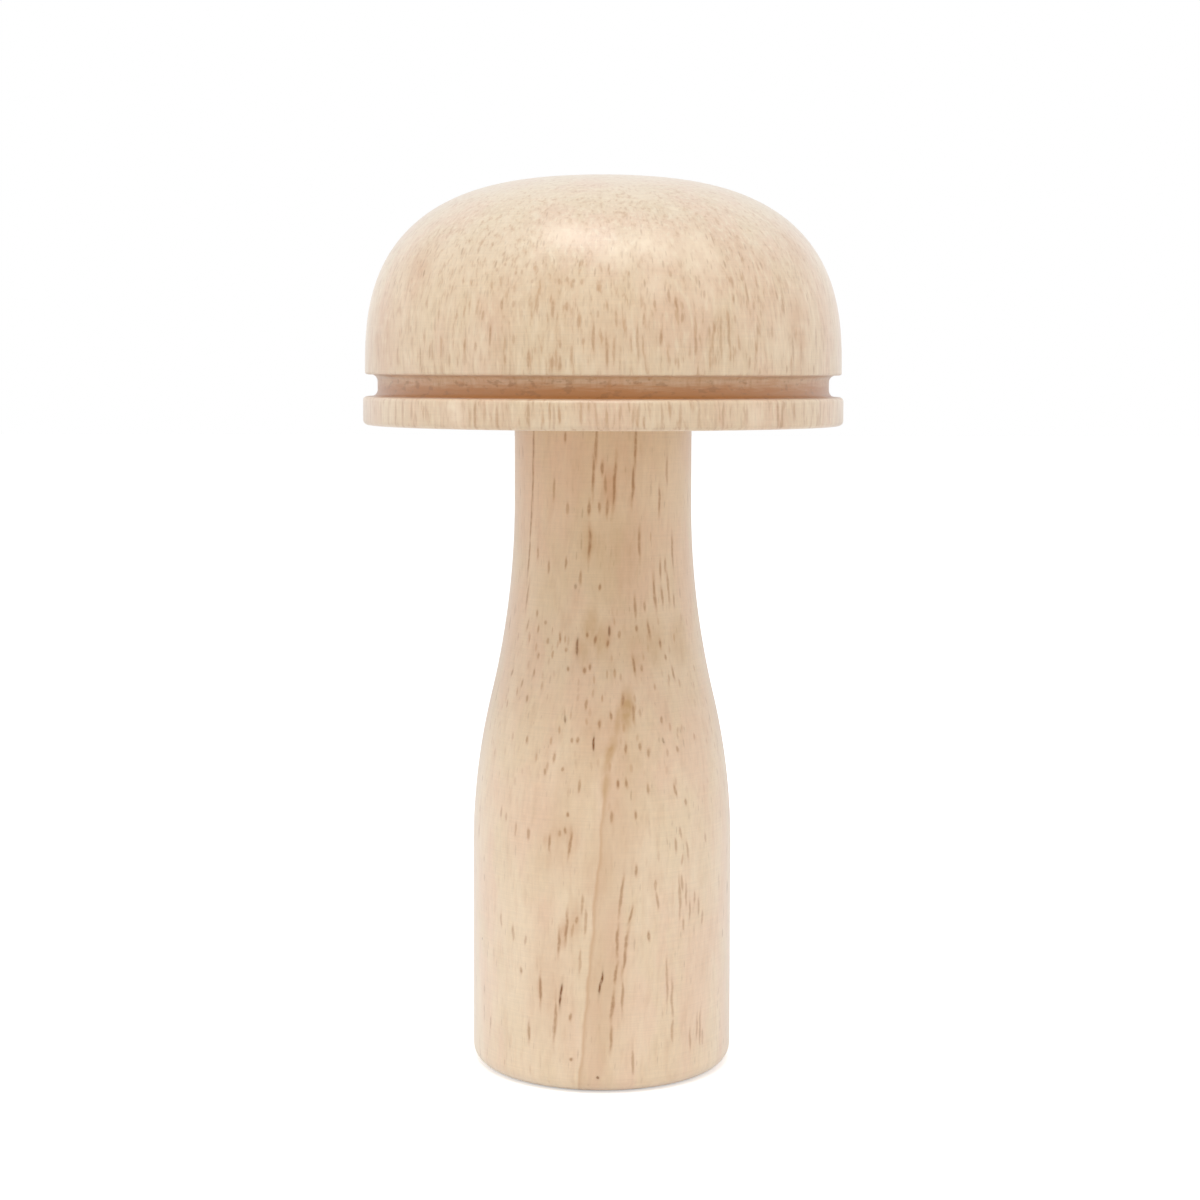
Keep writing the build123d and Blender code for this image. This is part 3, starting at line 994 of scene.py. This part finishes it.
class TurnHandle(bpy.types.Operator):
    """Turn the bottle-shaped handle"""

    bl_idname = "darning.turn_handle"
    bl_label = "Turn Handle"

    def execute(self, context):
        material, shader = wood(
            "handle_wood", cut_from=(5, 30, 60), lean=(0, -0.04, 0), waviness=0.7, ring_pith=(-20, 40, 0),
            streaks=(0.6, 4.0, 0.2), flecks=(0.5, 3.0, 0.11, 0.6, 0.26), pores=(1.0, 6.0, 0.18, 0.5, 0.32),
            lay_by_hand=handle_by_hand,
        )
        feed_by_name(shader, Sheen_Weight=0.8, Sheen_Roughness=0.5)
        finish_piece(turn_handle(), "handle", material)
        return {"FINISHED"}


class FinishDowel(bpy.types.Operator):
    """Give the glued dowel its raw beech"""

    bl_idname = "darning.finish_dowel"
    bl_label = "Finish Dowel"

    def execute(self, context):
        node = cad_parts["joint_dowel"]
        material, _ = wood(
            "dowel_wood", cut_from=(80, 9, 2), lean=(0, 0, 0), waviness=0.2, ring_pith=(12, 9, 0),
            streaks=(0.4, 3.0, 0.2), flecks=(0.3, 1.5, 0.06, 0.6, 0.3), pores=(0.5, 3.0, 0.1, 0.5, 0.4),
            lay_by_hand=plain,
        )
        for slot in node.material_slots:
            slot.material = material
        return {"FINISHED"}


def set_floor():
    """A white floor that keeps the object's soft shadow."""
    stage = bpy.context.scene.stage_sizes
    bpy.ops.object.select_all(action="DESELECT")
    bpy.ops.mesh.primitive_plane_add(size=stage.floor, location=(0, 0, 0))
    floor = bpy.context.object
    floor.name = "floor"
    material, tree, shader = new_material("floor_white")
    feed_by_name(shader, Base_Color=(0.9, 0.9, 0.9, 1), Roughness=0.9, Specular_IOR_Level=0.1)
    rays = tree.nodes.new("ShaderNodeLightPath").outputs
    lift = work("MULTIPLY", rays["Is Camera Ray"], stage.floor_lift)
    glow = add("Emission", (1, 1, 1, 1), lift)
    both = add("AddShader", shader.outputs[0], glow.outputs[0])
    feed_by_name(tree.nodes["Material Output"], Surface=both.outputs[0])
    floor.data.materials.append(material)


def set_light():
    """Light from all round, and a broad soft lamp overhead, a little to the front."""
    stage = bpy.context.scene.stage_sizes
    world = bpy.data.worlds.new("light_tent")
    bpy.context.scene.world = world
    world.use_nodes = True
    tree = world.node_tree
    rays = tree.nodes.new("ShaderNodeLightPath").outputs
    shown = work("MAXIMUM", rays["Is Camera Ray"], rays["Is Transmission Ray"])
    shown = work("MAXIMUM", shown, rays["Is Glossy Ray"])
    towards_sky = tree.nodes.new("ShaderNodeTexCoord").outputs["Generated"]
    across, _, up = add("SeparateXYZ", towards_sky).outputs
    walls = ramp(work("ABSOLUTE", across), 0.2, 0.95, stage.front_light, stage.side_light)
    tent = ramp(up, 0.1, 0.9, walls, stage.top_light)
    light = work("MAXIMUM", tent, shown)
    feed_by_name(tree.nodes["Background"], Color=(1, 1, 1, 1), Strength=light)
    cap = Vector((0, 0, bpy.context.scene.cap_sizes.crown))
    towards = Vector((-0.08, -0.35, 0.93)).normalized()
    bpy.ops.object.light_add(type="AREA", location=cap + towards * stage.lamp_distance)
    lamp = bpy.context.object
    lamp.name = "lamp_overhead"
    lamp.rotation_euler = (-towards).to_track_quat("-Z", "Y").to_euler()
    lamp.data.shape = "RECTANGLE"
    lamp.data.size = stage.lamp_width
    lamp.data.size_y = stage.lamp_depth
    lamp.data.energy = stage.lamp_power


def set_camera():
    """The camera at the photograph's place."""
    stage = bpy.context.scene.stage_sizes
    bpy.ops.object.camera_add(
        location=(stage.camera_aside, -stage.camera_distance, stage.camera_height),
        rotation=(pi / 2 - stage.camera_pitch, stage.camera_roll, 0),
    )
    camera = bpy.context.object
    camera.name = "camera"
    camera.data.lens = stage.lens
    camera.data.sensor_width = 36
    camera.data.shift_y = stage.camera_shift
    camera.data.clip_start = 0.01
    camera.data.clip_end = 20
    bpy.context.scene.camera = camera


class SetStage(bpy.types.Operator):
    """Set the white floor, the soft light and the camera"""

    bl_idname = "darning.set_stage"
    bl_label = "Set Stage"

    def execute(self, context):
        set_floor()
        set_light()
        set_camera()
        context.scene.view_settings.view_transform = "Standard"
        return {"FINISHED"}


class DARNING_PT_panel(bpy.types.Panel):
    """The operators and their sizes in the sidebar"""

    bl_idname = "DARNING_PT_panel"
    bl_label = "Darning Mushroom"
    bl_space_type = "VIEW_3D"
    bl_region_type = "UI"
    bl_category = "Darning Mushroom"

    def draw(self, context):
        for operator in operators:
            self.layout.operator(operator.bl_idname)
        for name in groups:
            sizes = getattr(context.scene, name)
            column = self.layout.column(align=True)
            for key in sizes.bl_rna.properties.keys():
                if key not in ("rna_type", "name"):
                    column.prop(sizes, key)


groups = {
    "turning_sizes": TurningSizes,
    "cap_sizes": CapSizes,
    "handle_sizes": HandleSizes,
    "wood_colours": WoodColours,
    "stage_sizes": StageSizes,
}
operators = (TurnCap, TurnHandle, FinishDowel, SetStage)


def register():
    for kind in (*groups.values(), *operators, DARNING_PT_panel):
        bpy.utils.register_class(kind)
    for name, kind in groups.items():
        setattr(bpy.types.Scene, name, PointerProperty(type=kind))


def unregister():
    for name in groups:
        delattr(bpy.types.Scene, name)
    for kind in reversed((*groups.values(), *operators, DARNING_PT_panel)):
        bpy.utils.unregister_class(kind)


def main():
    register()
    bpy.ops.darning.turn_cap()
    bpy.ops.darning.turn_handle()
    bpy.ops.darning.finish_dowel()
    bpy.ops.darning.set_stage()


if __name__ == "__main__":
    main()
